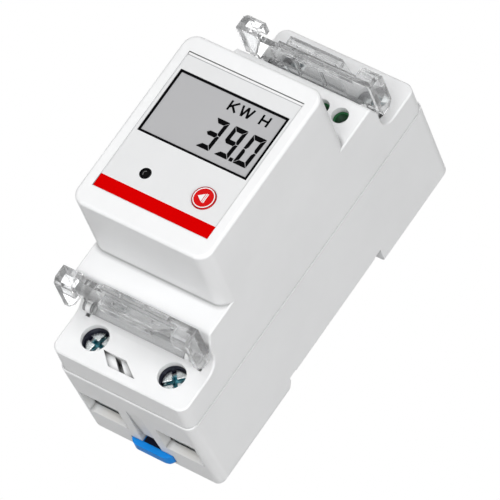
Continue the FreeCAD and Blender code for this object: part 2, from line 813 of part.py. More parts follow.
def main_board_parts():
    """The main board with its capacitors, metering chip and the pins to the display board."""
    board = new_body("main_board")
    board_half = INNER_HALF + " - board_gap"
    outline = block("-(%s)" % board_half, board_half,
                    "-(ledge_bottom - wall - board_gap)", "ledge_top - wall - board_gap")
    raise_shape(board, "board", "XZ", MAIN_BOARD, MAIN_BOARD + " + board_thick", [outline])

    film = new_body("film_capacitor")
    film_case = centred("-(%s - film_inset)" % HALF, "-film_z", "film_width", "film_height")
    raise_shape(film, "case", "XZ", MAIN_BOARD + " - film_rise", MAIN_BOARD, [film_case])
    dress_edges(film, "case_edges", "Chamfer", "edge_round", lambda edge: along(edge, "y"))

    can = new_body("filter_capacitor")
    lid = MAIN_BOARD + " - can_rise"
    can_middle = (HALF + " - can_inset", "can_z")
    raise_shape(can, "can", "XZ", lid, MAIN_BOARD, circles=[(can_middle, "can_radius")])
    dress_edges(can, "can_rim", "Chamfer", "edge_round / 2", lambda edge: at_level(edge, value(lid)))

    chip = new_body("metering_chip")
    chip_case = centred(HALF + " - chip_inset", "-chip_z", "chip_width", "chip_height")
    raise_shape(chip, "case", "XZ", MAIN_BOARD + " - chip_rise", MAIN_BOARD, [chip_case])

    pins = new_body("board_pins")
    row_middle = HALF + " - pin_inset"
    spacer = centred(row_middle, "-pin_z", "%d * pin_spacing" % HEADER_PINS, "pin_spacing")
    raise_shape(pins, "spacer", "XZ", MAIN_BOARD + " - pin_spacer", MAIN_BOARD, [spacer])
    row = []
    for step in range(HEADER_PINS):
        across = "%s + (%g) * pin_spacing" % (row_middle, step - (HEADER_PINS - 1) / 2)
        row.append(centred(across, "-pin_z", "pin_width", "pin_width"))
    raise_shape(pins, "pin_row", "XZ", DISPLAY_BOARD + " + board_thick", MAIN_BOARD, row)


def signal_terminal():
    """The green four-way signal terminal under the upper ledge, and its screws."""
    body = new_body("signal_terminal")
    front = "-(ledge_reach - wall - fit_gap)"
    low_x = signal_places()[-1] + " - signal_spacing / 2"
    high_x = signal_places()[0] + " + signal_spacing / 2"
    case = block(low_x, high_x, "signal_z - signal_depth / 2", "ledge_top - wall - fit_gap")
    raise_shape(body, "case", "XZ", front, MAIN_BOARD, [case])
    wells = [((spot, "signal_z"), "signal_screw_radius + fit_gap") for spot in signal_places()]
    well_end = "-(ledge_reach - wall - signal_well)"
    cut_shape(body, "screw_wells", "XZ", front, well_end, circles=wells)
    cut_shape(body, "wire_mouths", "XY", "signal_z + signal_screw_radius", "ledge_top - wall", wire_ways())

    screws = []
    for number, spot in enumerate(signal_places(), 1):
        stem = doc.addObject("Part::Cylinder", "signal_screw_%d" % number)
        stem.setExpression("Radius", link("signal_screw_radius"))
        stem.setExpression("Height", link("signal_screw_length"))
        stem.setExpression("Placement.Base.x", link(spot))
        stem.setExpression("Placement.Base.y", link(well_end))
        stem.setExpression("Placement.Base.z", link("signal_z"))
        stem.Placement.Rotation = FreeCAD.Rotation(FreeCAD.Vector(1, 0, 0), 90)
        screws.append(stem)
    group = doc.addObject("Part::Compound", "signal_screws")
    group.Label = "signal_screws"
    group.Links = screws
    doc.recompute()


def power_terminals():
    """Four cage clamps with their screws, and the two bars that carry the current through."""
    head_front = "-(shelf_reach - screw_sink)"
    head_back = head_front + " + screw_head_thick"
    screw_end = head_back + " + screw_length"
    cage_front = head_back + " + head_gap"
    number = 0
    for end, facts in ENDS.items():
        for side in ("-", ""):
            number += 1
            centre = side + TERMINAL_X
            low_z = facts["terminal"] + " - cage_depth / 2"
            high_z = facts["terminal"] + " + cage_depth / 2"
            cage = new_body("terminal_cage_%d" % number)
            case = block(centre + " - cage_width / 2", centre + " + cage_width / 2", cage_front, CAGE_BACK)
            raise_shape(cage, "case", "XY", low_z, high_z, [case])
            room = block(centre + " - cage_width / 2 + cage_wall", centre + " + cage_width / 2 - cage_wall",
                         cage_front + " + cage_nut", BAR_BACK)
            cut_shape(cage, "wire_room", "XY", low_z, high_z, [room])
            spot = (centre, facts["terminal"])
            cut_shape(cage, "nut_bore", "XZ", cage_front, cage_front + " + cage_nut",
                      circles=[(spot, "screw_radius + screw_play")])
            terminal_screw(number, spot, (head_front, head_back, screw_end))
    for label, side in (("neutral_bar", "-"), ("phase_bar", "")):
        bar = new_body(label)
        centre = side + TERMINAL_X
        low_z = "-terminal_bottom - cage_depth / 2"
        high_z = "terminal_top + cage_depth / 2"
        strip = block(centre + " - bar_width / 2", centre + " + bar_width / 2",
                      BAR_BACK + " - bar_thick", BAR_BACK)
        raise_shape(bar, "strip", "XY", low_z, high_z, [strip])


SCREW_TURNS = {1: 70, 2: 15, 3: 80, 4: 40}


def turned_bar(spot, length, width, turn):
    """A rectangle about spot, turned by a number of degrees."""
    corners = []
    for ahead, aside in ((-1, -1), (1, -1), (1, 1), (-1, 1)):
        reach = "(%d * %s / 2)" % (ahead, length)
        shift = "(%d * %s / 2)" % (aside, width)
        corners.append(("%s + %s * cos(%d) - %s * sin(%d)" % (spot[0], reach, turn, shift, turn),
                        "%s + %s * sin(%d) + %s * cos(%d)" % (spot[1], reach, turn, shift, turn)))
    return corners


def terminal_screw(number, spot, levels):
    """A combination-head screw: round head with a slot and a cross, and a plain shank."""
    head_front, head_back, screw_end = levels
    screw = new_body("terminal_screw_%d" % number)
    raise_shape(screw, "head", "XZ", head_front, head_back, circles=[(spot, "screw_head_radius")])
    dress_edges(screw, "head_rim", "Chamfer", "screw_bevel", lambda edge: at_level(edge, value(head_front)))
    drive_end = head_front + " + drive_depth"
    raise_shape(screw, "shank", "XZ", drive_end, screw_end, circles=[(spot, "screw_radius")])
    turn = SCREW_TURNS[number]
    blade_slot = turned_bar(spot, "(3 * screw_head_radius)", "blade_width", turn)
    cross_slot = turned_bar(spot, "drive_reach", "drive_width", turn + 90)
    long_slot = turned_bar(spot, "drive_reach", "drive_width", turn)
    cut_shape(screw, "blade_slot", "XZ", head_front, head_front + " + blade_depth", [blade_slot])
    cut_shape(screw, "cross", "XZ", head_front, drive_end, [cross_slot])
    cut_shape(screw, "cross_along_slot", "XZ", head_front, drive_end, [long_slot])


def terminal_cover(end):
    """A clear cover, standing open: plate, pivots, hooked end lugs and a slotted hood between them."""
    body = new_body(end + "_terminal_cover")
    pivot_z = hinge_height(end)

    def out(distance):
        return outward(end, pivot_z, distance)

    def ahead(distance):
        return "%s - (%s)" % (HINGE_Y, distance)

    plate = [
        (ahead("0"), out("-cover_thick")),
        (ahead("cover_length"), out("-cover_thick")),
        (ahead("cover_length"), out("0")),
        (ahead("0"), out("0")),
    ]
    raise_shape(body, "plate", "YZ", "-" + COVER_HALF, COVER_HALF, [plate])
    raise_shape(body, "knuckle", "YZ", "-" + COVER_HALF, COVER_HALF,
                circles=[((HINGE_Y, pivot_z), "cover_thick")])
    trim_knuckle(body, ahead, out)
    add_lugs(body, ahead, out)
    add_hood(body, ahead, out)
    sink_panels(body, ahead, out)
    gap = "(ear_thick / 2 + ear_space)"
    clearance = "(ear_radius + head_gap)"
    for name, side in (("right", ""), ("left", "-")):
        low = "%s%s - %s" % (side, EAR_X, gap)
        high = "%s%s + %s" % (side, EAR_X, gap)
        room = block(ahead(clearance), ahead("-" + clearance), out("-" + clearance), out(clearance))
        cut_shape(body, name + "_ear_room", "YZ", low, high, [room])
        raise_shape(body, name + "_pin", "YZ", low + " - head_gap", high + " + head_gap",
                    circles=[((HINGE_Y, pivot_z), "pin_radius")])


def add_lugs(body, ahead, out):
    """The hooked lugs at both ends, and the skirts beside them."""
    skirt = [
        (ahead("skirt_start"), out("-cover_thick / 2")),
        (ahead("cover_length - fit_gap"), out("-cover_thick / 2")),
        (ahead("cover_length - fit_gap"), out("cover_skirt - lug_bevel")),
        (ahead("cover_length - lug_bevel"), out("cover_skirt")),
        (ahead("skirt_start + 1.5 * lug_bevel"), out("cover_skirt")),
        (ahead("skirt_start"), out("cover_skirt - 1.5 * lug_bevel")),
    ]
    inner_skirt = COVER_HALF + " - lug_wall"
    for name, (low, high) in zip(("right", "left"), both_sides(inner_skirt, COVER_HALF)):
        raise_shape(body, name + "_skirt", "YZ", low, high, [skirt])
    hook = [
        (ahead("cover_length - lug_wall"), out("-cover_thick / 2")),
        (ahead("cover_length"), out("-cover_thick / 2")),
        (ahead("cover_length"), out("cover_skirt - lug_bevel")),
        (ahead("cover_length - lug_bevel"), out("cover_skirt")),
        (ahead("cover_length - lug_length"), out("cover_skirt")),
        (ahead("cover_length - lug_length"), out("cover_skirt - lug_bevel")),
        (ahead("cover_length - lug_wall"), out("cover_skirt - lug_bevel")),
    ]
    for name, (low, high) in zip(("right", "left"), both_sides(COVER_HALF + " - lug_width", COVER_HALF)):
        raise_shape(body, name + "_hook", "YZ", low, high, [hook])


def add_hood(body, ahead, out):
    """The raised hood between the lugs: upright at its left end, sloping down at its right end."""
    left = "-(%s - hood_inset)" % COVER_HALF
    foot = "(%s - lug_width - slot_gap)" % COVER_HALF
    top_right = "(%s - hood_slope)" % foot
    hood = [
        (left, out("-cover_thick / 2")),
        (foot, out("-cover_thick / 2")),
        (foot, out("fit_gap")),
        (top_right, out("cover_skirt - fit_gap")),
        (left, out("cover_skirt - fit_gap")),
    ]
    front = ahead("cover_length - hood_drop")
    raise_shape(body, "hood", "XZ", front, front + " + hood_thick", [hood])
    lip = block(left, top_right,
                *sorted((out("cover_skirt - hood_thick"), out("cover_skirt - fit_gap")), key=value))
    raise_shape(body, "hood_lip", "XZ", front, front + " + hood_lip", [lip])
    left_slot = block(left + " + hood_lip", left + " + hood_lip + slot_length",
                      *sorted((out("slot_rise"), out("slot_rise + slot_gap")), key=value))
    right_slot = [
        (top_right + " - slot_gap", out("cover_skirt - hood_thick - slot_gap")),
        (top_right + " - slot_gap", out("slot_rise")),
        (top_right + " + hood_lip / 2", out("slot_rise")),
    ]
    cut_shape(body, "hood_slots", "XZ", front, front + " + hood_thick", [left_slot, right_slot])
    step = block("-(%s - lug_width - slot_gap)" % COVER_HALF, left + " - slot_gap",
                 *sorted((out("-cover_thick - fit_gap"), out("fit_gap")), key=value))
    cut_shape(body, "edge_step", "XZ", ahead("cover_length + fit_gap"), front, [step])


def trim_knuckle(body, ahead, out):
    """Cuts the hinge edge away outside the ears."""
    free = "(%s + ear_thick + ear_space)" % EAR_X
    reach = "(cover_thick + fit_gap)"
    room = [
        block(low, high, *sorted((out("-" + reach), out(reach)), key=value))
        for low, high in both_sides(free, COVER_HALF + " + fit_gap")
    ]
    cut_shape(body, "knuckle_ends", "XZ", ahead("plate_start"), ahead("-" + reach), room)


def sink_panels(body, ahead, out):
    """Three shallow panels sunk in the inner face of the plate, with ribs left between them."""
    panels = []
    for step in (-1, 0, 1):
        middle = "%d * panel_spacing" % step
        panels.append(block(middle + " - panel_width / 2", middle + " + panel_width / 2",
                            ahead("cover_length - hood_drop - lug_wall"), ahead("cover_skirt")))
    faces = [out("-cover_thick"), out("-cover_thick + panel_sink")]
    low, high = sorted(faces, key=value)
    cut_shape(body, "inner_panels", "XY", low, high, panels)


def din_clip():
    """The blue clip: a sliding plate with a pull tab below and a nose behind the lower lip of the rail."""
    body = new_body("din_clip")
    outline = [
        ("clip_front", CLIP_END),
        ("clip_front", RAIL_BOTTOM + " - slide_gap"),
        ("rail_gap", RAIL_BOTTOM + " - slide_gap"),
        ("rail_gap", "-(rail_height / 2 - grip_lap)"),
        ("rail_gap + nose_thick", "-(rail_height / 2 - grip_lap)"),
        (CLIP_BACK, RAIL_BOTTOM + " - seat_relief"),
        (CLIP_BACK, CLIP_END),
    ]
    raise_shape(body, "plate", "YZ", "-clip_width / 2", "clip_width / 2", [outline])
    bottom = value(CLIP_END)
    side = value("clip_width / 2")
    dress_edges(body, "pull_edge", "Chamfer", "clip_bevel",
                lambda edge: along(edge, "x") and sits(edge, y=(value(CLIP_BACK),), z=(bottom,)))
    dress_edges(body, "pull_corners", "Fillet", "clip_round",
                lambda edge: along(edge, "y") and sits(edge, x=(side, -side), z=(bottom,)))
    pocket = block("-ramp_width / 2", "ramp_width / 2",
                   CLIP_END + " + tab_height", CLIP_END + " + tab_rise")
    cut_shape(body, "blade_pocket", "XZ", "clip_front", "clip_front + pocket_depth", [pocket])


front_housing()
base_housing()
display_parts()
push_button()
switch_and_lamp()
main_board_parts()
signal_terminal()
power_terminals()
for cover_end in ENDS:
    terminal_cover(cover_end)
din_clip()
doc.recompute()

failed = [item.Name for item in doc.Objects if {"Invalid", "Error"} & set(item.State)]
if failed:
    raise RuntimeError("failed: " + ", ".join(failed))
nodes = [item for item in doc.Objects if item.TypeId in ("PartDesign::Body", "Part::Compound")]
for node in nodes:
    if node.Shape.isNull() or not node.Shape.isValid():
        raise RuntimeError("bad shape: " + node.Label)
    if node.TypeId == "PartDesign::Body" and len(node.Shape.Solids) != 1:
        raise RuntimeError("%s has %d solids" % (node.Label, len(node.Shape.Solids)))
os.makedirs("parts", exist_ok=True)
for node in nodes:
    node.Shape.exportStep("parts/%s.step" % node.Label)
    print(node.Label, round(node.Shape.Volume, 1))
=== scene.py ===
"""Looks of the energy meter: materials, printed detail, light and camera.

Metres, in the same frame as the solids. Printed detail is laid out in millimetres across and up.
"""
import json
import math

import bmesh
import bpy
from mathutils import Matrix, Vector


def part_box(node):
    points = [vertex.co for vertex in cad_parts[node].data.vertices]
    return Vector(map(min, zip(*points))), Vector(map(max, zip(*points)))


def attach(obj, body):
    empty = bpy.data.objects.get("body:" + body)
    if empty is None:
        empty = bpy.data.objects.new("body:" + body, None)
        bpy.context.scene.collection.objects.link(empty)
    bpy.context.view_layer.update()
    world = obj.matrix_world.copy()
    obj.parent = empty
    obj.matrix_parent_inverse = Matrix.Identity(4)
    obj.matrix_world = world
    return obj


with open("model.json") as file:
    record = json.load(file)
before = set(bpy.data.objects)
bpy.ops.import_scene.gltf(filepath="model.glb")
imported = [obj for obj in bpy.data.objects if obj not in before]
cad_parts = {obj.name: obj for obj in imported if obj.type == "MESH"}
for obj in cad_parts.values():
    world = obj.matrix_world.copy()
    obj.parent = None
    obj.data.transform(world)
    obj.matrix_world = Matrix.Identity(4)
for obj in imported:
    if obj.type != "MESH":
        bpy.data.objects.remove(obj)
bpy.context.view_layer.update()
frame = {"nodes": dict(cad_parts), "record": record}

MM = 0.001
LABEL_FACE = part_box("label_panel")[0].y / MM
DISPLAY_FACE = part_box("display_glass")[0].y / MM
BUTTON_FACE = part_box("push_button")[0].y / MM
LAMP_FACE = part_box("pulse_lamp")[0].y / MM


def middle_of(node):
    """The middle of a node as it is seen from the front, in millimetres across and up."""
    low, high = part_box(node)
    return (low.x + high.x) / 2 / MM, (low.z + high.z) / 2 / MM


BUTTON_CENTRE = middle_of("push_button")
LAMP_CENTRE = middle_of("pulse_lamp")

# camera: its right, down and forward directions, and where it stands
CAMERA_RIGHT = (0.80157, 0.23299, 0.55064)
CAMERA_DOWN = (0.38135, 0.51007, -0.77097)
CAMERA_FORWARD = (-0.46049, 0.82797, 0.32001)
CAMERA_EYE = (0.64561, -1.17607, -0.44958)
SENSOR_WIDTH = 36.0
LENS = 468.8
CLIP_START = 0.05
CLIP_END = 30.0

# stage, and the soft lamps as spot, size and power
FLOOR_HEIGHT = -0.72
FLOOR_HALF = 6.0
FLOOR_COLOUR = (0.86, 0.86, 0.86)
FLOOR_SPREAD = 0.005
FLOOR_ROUGH = (0.8, 0.9)
AMBIENT = 0.24
LAMP_TARGET = (0.0, -0.03, 0.0)
LAMPS = {
    "key_light": ((-0.2, -2.0, 0.0), 1.0, 8.4),
    "low_light": ((0.25, -0.9, -0.4), 0.5, 3.05),
    "side_light": ((1.3, -1.0, -0.1), 0.8, 10.8),
    "back_light": ((-1.3, 1.2, 1.0), 1.2, 8.0),
}

# how closely colour and gloss drift, as noise scales, and where on the noise the two shades lie
PLASTIC_DRIFT = (60.0, 400.0)
METAL_DRIFT = (350.0, 900.0)
CLEAR_DRIFT = (120.0, 300.0)
FLOOR_DRIFT = (2.0, 30.0)
SHADE_PLACES = (0.3, 0.7)
COLOUR_DETAIL = 4.0
GLOSS_DETAIL = 2.0
GRAIN_DETAIL = 3.0
EDGE_SAMPLES = 6
# samples of the painted shade in hollows
HOLLOW_SAMPLES = 8
COAT_ROUGH = 0.08

# grain of metal and of printed film, as noise scale and depth
METAL_GRAIN = (2500.0, 0.000006)
FILM_GRAIN = (14000.0, 0.000002)

# materials: the record's slots under their own names, those of the printed detail and the screws, and
# near-black painted shade and a grey painted highlight
PLASTICS = {
    # white_housing gets painted shade, darkened into hollows narrower than 1.2 mm
    "white_housing": dict(colour=(0.88, 0.885, 0.89), edge=0.0002, hollow_shade_reach=0.0012),
    "label_white": dict(colour=(0.765, 0.77, 0.775), rough=(0.30, 0.38), spread=0.008, grain=FILM_GRAIN),
    "display_black": dict(colour=(0.003, 0.003, 0.0035), rough=(0.30, 0.42), spread=0.1, gloss=0.01),
    "display_grey": dict(colour=(0.435, 0.435, 0.445), rough=(0.26, 0.32), spread=0.012,
                         grain=(5000.0, 0.0000015), coat=0.4),
    "light_guide": dict(colour=(0.80, 0.84, 0.88), rough=(0.15, 0.25)),
    "board_green": dict(colour=(0.02, 0.16, 0.06), rough=(0.30, 0.45), spread=0.08),
    "button_red": dict(colour=(0.64, 0.002, 0.003), rough=(0.16, 0.24), spread=0.03,
                       grain=(6000.0, 0.000002), edge=0.0001, gloss=0.12),
    "part_black": dict(colour=(0.02, 0.02, 0.022), rough=(0.35, 0.5), spread=0.1),
    "lamp_red": dict(colour=(0.004, 0.004, 0.004), rough=(0.12, 0.2), spread=0.1, gloss=0.04),
    "film_blue": dict(colour=(0.02, 0.09, 0.42), rough=(0.15, 0.3), spread=0.06),
    "terminal_green": dict(colour=(0.008, 0.13, 0.035), rough=(0.3, 0.45), spread=0.08),
    "print_white": dict(colour=(0.86, 0.86, 0.86), rough=(0.3, 0.4), spread=0.01),
    "edge_pale": dict(colour=(0.66, 0.665, 0.67), rough=(0.3, 0.4), spread=0.03),
    "line_grey": dict(colour=(0.36, 0.36, 0.37), rough=(0.3, 0.4), spread=0.05),
    # painted shade: a near-black sheet in each screw's gap and in the clip's blade pocket
    "painted_shade_black": dict(colour=(0.010, 0.011, 0.024), rough=(0.4, 0.5), spread=0.1, gloss=0.1),
    # painted highlight: a grey arc on the lens of the pulse lamp
    "glint_grey": dict(colour=(0.10, 0.10, 0.10), rough=(0.3, 0.4), spread=0.05),
    "band_red": dict(colour=(0.66, 0.0004, 0.0006), rough=(0.32, 0.4), grain=FILM_GRAIN, gloss=0.0),
    "ring_red": dict(colour=(0.40, 0.01, 0.012), rough=(0.2, 0.3), spread=0.04, gloss=0.1),
    "clip_blue": dict(colour=(0.0, 0.25, 0.78), rough=(0.28, 0.4), spread=0.03, edge=0.0003, gloss=0.35),
}
METALS = {
    "can_aluminium": dict(colour=(0.78, 0.78, 0.79)),
    "pin_brass": dict(colour=(0.78, 0.60, 0.28)),
    "zinc_steel": dict(colour=(0.60, 0.645, 0.65)),
    "screw_bright": dict(colour=(0.86, 0.90, 0.90), rough=(0.2, 0.34), edge=0.00025),
    "bar_brass": dict(colour=(0.75, 0.58, 0.27)),
}

# clear covers
CLEAR_COLOUR = (0.865, 0.87, 0.875)
CLEAR_SPREAD = 0.02
CLEAR_ROUGH = (0.02, 0.08)
CLEAR_SHARE = 0.88
CLEAR_INDEX = 1.5
CLEAR_GRAIN = (350.0, 0.00003)
CLEAR_EDGE = 0.0002

# bevel of the base at the seam, and the share of its colour that is kept there: painted shade that dims
# the highlight the bevel catches
SEAM_BEVEL = 0.00032
SEAM_SHADE_KEEP = 0.8

# terminal screws: face colour, recess colour, and the depth at which the recess colour begins; the recess
# colour is a bluish tint darkened as painted shade, ramping in over one more such depth
SCREW_FACE = (0.80, 0.83, 0.84)
SCREW_RECESS = (0.07, 0.22, 0.26)
SCREW_SHADE_DEPTH = 0.0004
SCREW_ROUGH = (0.24, 0.36)
SCREW_EDGE = 0.00005

# cut faces of the screw heads, and a near-black sleeve of painted shade in the gap from the wall of each
# hole to behind the face of its head
SCREW_TURNS = {1: 70, 2: 15, 3: 80, 4: 40}
SCREW_FACE_RADIUS = 2.85
SCREW_FACE_THICK = 0.9
SCREW_CUT_HALF = 0.5
QUARTER_STEPS = 12
SHADE_SLEEVE_RADII = (3.02, 3.17)
SHADE_SLEEVE_END = 0.9
SHADE_SLEEVE_LENGTH = 3.1

# print on the label and on the strip above it
INK = 0.03
BAND_HALF_WIDTH = 15.0
BAND_TOP = -16.85
BAND_BOTTOM = -20.05
LINE_THICK = 0.16
BORDER_LINE_TOP = 16.02
LABEL_EDGES = (14.85, 15.12)
EDGE_STRIP_UP = (16.1, 16.56)
EDGE_STRIP_THICK = 0.3

# digits and point on the display
READING = "390"
LIT = {"3": "abgcd", "9": "abcdfg", "0": "abcdef"}
DIGIT_HEIGHT = 7.84
DIGIT_WIDTH = 3.4
DIGIT_PITCH = 4.8
DIGIT_STROKE = 0.9
DIGIT_BAR = 1.15
DIGIT_GAP = 0.08
DIGIT_CORNER = 0.1
DIGIT_SLANT = 0.055
DIGIT_BASE = -2.07
DIGITS_LEFT = -0.6
POINT_LEFT = 7.9

# unit above the digits: the left edge of each letter, and its strokes from point to point
UNIT_BASE = 8.25
UNIT_STROKE = 0.5
UNIT_LETTERS = {
    0.52: [((0, 0), (0, 2.5)), ((0, 0.8), (1.85, 2.5)), ((0.65, 1.3), (1.95, 0))],
    3.36: [((0, 2.5), (0.74, 0)), ((0.74, 0), (1.48, 2.5)), ((1.48, 2.5), (2.22, 0)),
           ((2.22, 0), (2.96, 2.5))],
    8.76: [((0, 0), (0, 2.5)), ((1.78, 0), (1.78, 2.5)), ((0, 1.25), (1.78, 1.25))],
}

# rings on the push button and the lamp as inner and outer radius, and the arrow and bars from the middle
BUTTON_RIM_RING = (2.49, 2.69)
BUTTON_WHITE_RING = (2.24, 2.46)
ARROW_CORNERS = ((-1.45, -0.1), (-0.1, -1.05), (-0.1, 0.95))
BARS_LEFT = (0.08, 0.42)
BAR_WIDTH = 0.22
BAR_UP = (-1.15, 1.1)
LAMP_RING = (0.86, 1.36)
# LAMP_GLINT and GLINT_ARC: a painted highlight, an arc of grey on the lamp lens
LAMP_GLINT = (0.5, 0.66)
GLINT_ARC = (95, 235)
GLINT_STEPS = 16
RING_STEPS = 48

# inside of the blade pocket in the clip, where a near-black sheet of painted shade lies: half width, rise
# above the clip's foot, depth and filled depth
POCKET_HALF = 2.55
POCKET_RISE = (1.55, 5.95)
POCKET_DEPTH = 1.7
POCKET_FILL = 1.5


def shader_of(name):
    """A new material with its node lists and its main shader."""
    material = bpy.data.materials.new(name)
    material.use_nodes = True
    tree = material.node_tree
    return material, tree.nodes, tree.links, tree.nodes["Principled BSDF"]


def noise_field(nodes, links, scale, detail):
    """Noise laid out in the part's own metres."""
    place = nodes.new("ShaderNodeTexCoord")
    noise = nodes.new("ShaderNodeTexNoise")
    noise.inputs["Scale"].default_value = scale
    noise.inputs["Detail"].default_value = detail
    links.new(place.outputs["Object"], noise.inputs["Vector"])
    return noise.outputs["Fac"]


def place_parts(nodes, links):
    """The three coordinates of a point in the part's own metres, as sockets."""
    place = nodes.new("ShaderNodeTexCoord")
    parts = nodes.new("ShaderNodeSeparateXYZ")
    links.new(place.outputs["Object"], parts.inputs["Vector"])
    return parts.outputs


def arithmetic(nodes, links, operation, first, second=0.0):
    """One step of arithmetic on a socket and a number or another socket."""
    step = nodes.new("ShaderNodeMath")
    step.operation = operation
    links.new(first, step.inputs[0])
    if isinstance(second, float):
        step.inputs[1].default_value = second
    else:
        links.new(second, step.inputs[1])
    return step.outputs["Value"]


def between(nodes, links, share, low, high):
    """A number that goes from low to high as the share goes from 0 to 1."""
    spread = nodes.new("ShaderNodeMapRange")
    spread.inputs["To Min"].default_value = low
    spread.inputs["To Max"].default_value = high
    links.new(share, spread.inputs["Value"])
    return spread.outputs["Result"]


def drift_colour(nodes, links, shader, colour, spread, scale, hollow_shade_reach=0.0):
    """Lets the colour drift between two shades, and paints shade into hollows narrower than the reach,
    where one is given.
    """
    ramp = nodes.new("ShaderNodeValToRGB")
    low, high = ramp.color_ramp.elements
    low.position, high.position = SHADE_PLACES
    low.color = [part * (1 - spread) for part in colour] + [1.0]
    high.color = [min(1.0, part * (1 + spread)) for part in colour] + [1.0]
    links.new(noise_field(nodes, links, scale, COLOUR_DETAIL), ramp.inputs["Fac"])
    tone = ramp.outputs["Color"]
    if hollow_shade_reach:
        # painted shade: the colour is darkened by occlusion within the reach
        hollow = nodes.new("ShaderNodeAmbientOcclusion")
        hollow.samples = HOLLOW_SAMPLES
        hollow.inputs["Distance"].default_value = hollow_shade_reach
        links.new(tone, hollow.inputs["Color"])
        tone = hollow.outputs["Color"]
    links.new(tone, shader.inputs["Base Color"])


def drift_roughness(nodes, links, shader, rough, scale):
    """Lets the roughness drift between two values."""
    gloss = between(nodes, links, noise_field(nodes, links, scale, GLOSS_DETAIL), *rough)
    links.new(gloss, shader.inputs["Roughness"])


def fine_grain(nodes, links, shader, grain, edge):
    """Grain as bump, on edges softened by the given radius."""
    scale, depth = grain
    bump = nodes.new("ShaderNodeBump")
    bump.inputs["Distance"].default_value = depth
    bump.inputs["Strength"].default_value = 1.0
    links.new(noise_field(nodes, links, scale, GRAIN_DETAIL), bump.inputs["Height"])
    if edge:
        bevel = nodes.new("ShaderNodeBevel")
        bevel.samples = EDGE_SAMPLES
        bevel.inputs["Radius"].default_value = edge
        links.new(bevel.outputs["Normal"], bump.inputs["Normal"])
    links.new(bump.outputs["Normal"], shader.inputs["Normal"])


def moulded(name, colour, rough=(0.36, 0.48), spread=0.02, grain=(9000.0, 0.000004), edge=0.0, coat=0.0,
            gloss=0.5, hollow_shade_reach=0.0):
    """Moulded plastic: faint drifts of colour, uneven gloss, fine grain and softened edges, with painted
    shade in hollows where a reach is given.
    """
    material, nodes, links, shader = shader_of(name)
    shader.inputs["Specular IOR Level"].default_value = gloss
    drift_colour(nodes, links, shader, colour, spread, PLASTIC_DRIFT[0], hollow_shade_reach)
    drift_roughness(nodes, links, shader, rough, PLASTIC_DRIFT[1])
    fine_grain(nodes, links, shader, grain, edge)
    shader.inputs["Coat Weight"].default_value = coat
    shader.inputs["Coat Roughness"].default_value = COAT_ROUGH
    return material


def seam_shaded(name, facts):
    """The base's moulded plastic, with painted shade on the bevel along its sides that dims the highlight
    there, so that the seam stays faint.
    """
    material = moulded(name, **facts)
    nodes, links = material.node_tree.nodes, material.node_tree.links
    base_colour = nodes["Principled BSDF"].inputs["Base Color"]
    low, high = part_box("base_housing")
    parts = place_parts(nodes, links)
    across = arithmetic(nodes, links, "ABSOLUTE", parts["X"])
    beside = arithmetic(nodes, links, "GREATER_THAN", across, high.x - SEAM_BEVEL)
    ahead = arithmetic(nodes, links, "LESS_THAN", parts["Y"], low.y + SEAM_BEVEL)
    seam_bevel_mask = arithmetic(nodes, links, "MULTIPLY", beside, ahead)
    # painted shade: the colour is dimmed on the bevel
    seam_shade_colour = nodes.new("ShaderNodeHueSaturation")
    links.new(base_colour.links[0].from_socket, seam_shade_colour.inputs["Color"])
    links.new(between(nodes, links, seam_bevel_mask, 1.0, SEAM_SHADE_KEEP), seam_shade_colour.inputs["Value"])
    links.new(seam_shade_colour.outputs["Color"], base_colour)
    return material


def metal(name, colour, rough=(0.22, 0.38), spread=0.06, edge=0.00006):
    """Plated or drawn metal with uneven gloss and fine grain."""
    material, nodes, links, shader = shader_of(name)
    shader.inputs["Metallic"].default_value = 1.0
    drift_colour(nodes, links, shader, colour, spread, METAL_DRIFT[0])
    drift_roughness(nodes, links, shader, rough, METAL_DRIFT[1])
    fine_grain(nodes, links, shader, METAL_GRAIN, edge)
    return material


def screw_metal(name):
    """Bright zinc on the face of a screw head, and in its recess a bluish tint darkened with painted shade
    by depth.
    """
    material, nodes, links, shader = shader_of(name)
    shader.inputs["Metallic"].default_value = 1.0
    drift_roughness(nodes, links, shader, SCREW_ROUGH, METAL_DRIFT[1])
    fine_grain(nodes, links, shader, METAL_GRAIN, SCREW_EDGE)
    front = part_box("terminal_screw_1")[0].y
    # painted shade: the recess colour ramps in with depth under the face
    recess_shade_mask = nodes.new("ShaderNodeMapRange")
    recess_shade_mask.inputs["From Min"].default_value = front + SCREW_SHADE_DEPTH
    recess_shade_mask.inputs["From Max"].default_value = front + 2 * SCREW_SHADE_DEPTH
    links.new(place_parts(nodes, links)["Y"], recess_shade_mask.inputs["Value"])
    ramp = nodes.new("ShaderNodeValToRGB")
    bright, dark = ramp.color_ramp.elements
    bright.color = SCREW_FACE + (1.0,)
    dark.color = SCREW_RECESS + (1.0,)
    links.new(recess_shade_mask.outputs["Result"], ramp.inputs["Fac"])
    links.new(ramp.outputs["Color"], shader.inputs["Base Color"])
    return material


def clear_plastic(name):
    """Clear polycarbonate with slightly uneven faces."""
    material, nodes, links, shader = shader_of(name)
    shader.inputs["Transmission Weight"].default_value = CLEAR_SHARE
    shader.inputs["IOR"].default_value = CLEAR_INDEX
    drift_colour(nodes, links, shader, CLEAR_COLOUR, CLEAR_SPREAD, CLEAR_DRIFT[0])
    drift_roughness(nodes, links, shader, CLEAR_ROUGH, CLEAR_DRIFT[1])
    fine_grain(nodes, links, shader, CLEAR_GRAIN, CLEAR_EDGE)
    return material


def make_materials():
    """Every material under its name, apart from those of the screws and the base."""
    made = {name: moulded(name, **facts) for name, facts in PLASTICS.items()}
    made.update({name: metal(name, **facts) for name, facts in METALS.items()})
    made["clear_cover"] = clear_plastic("clear_cover")
    return made


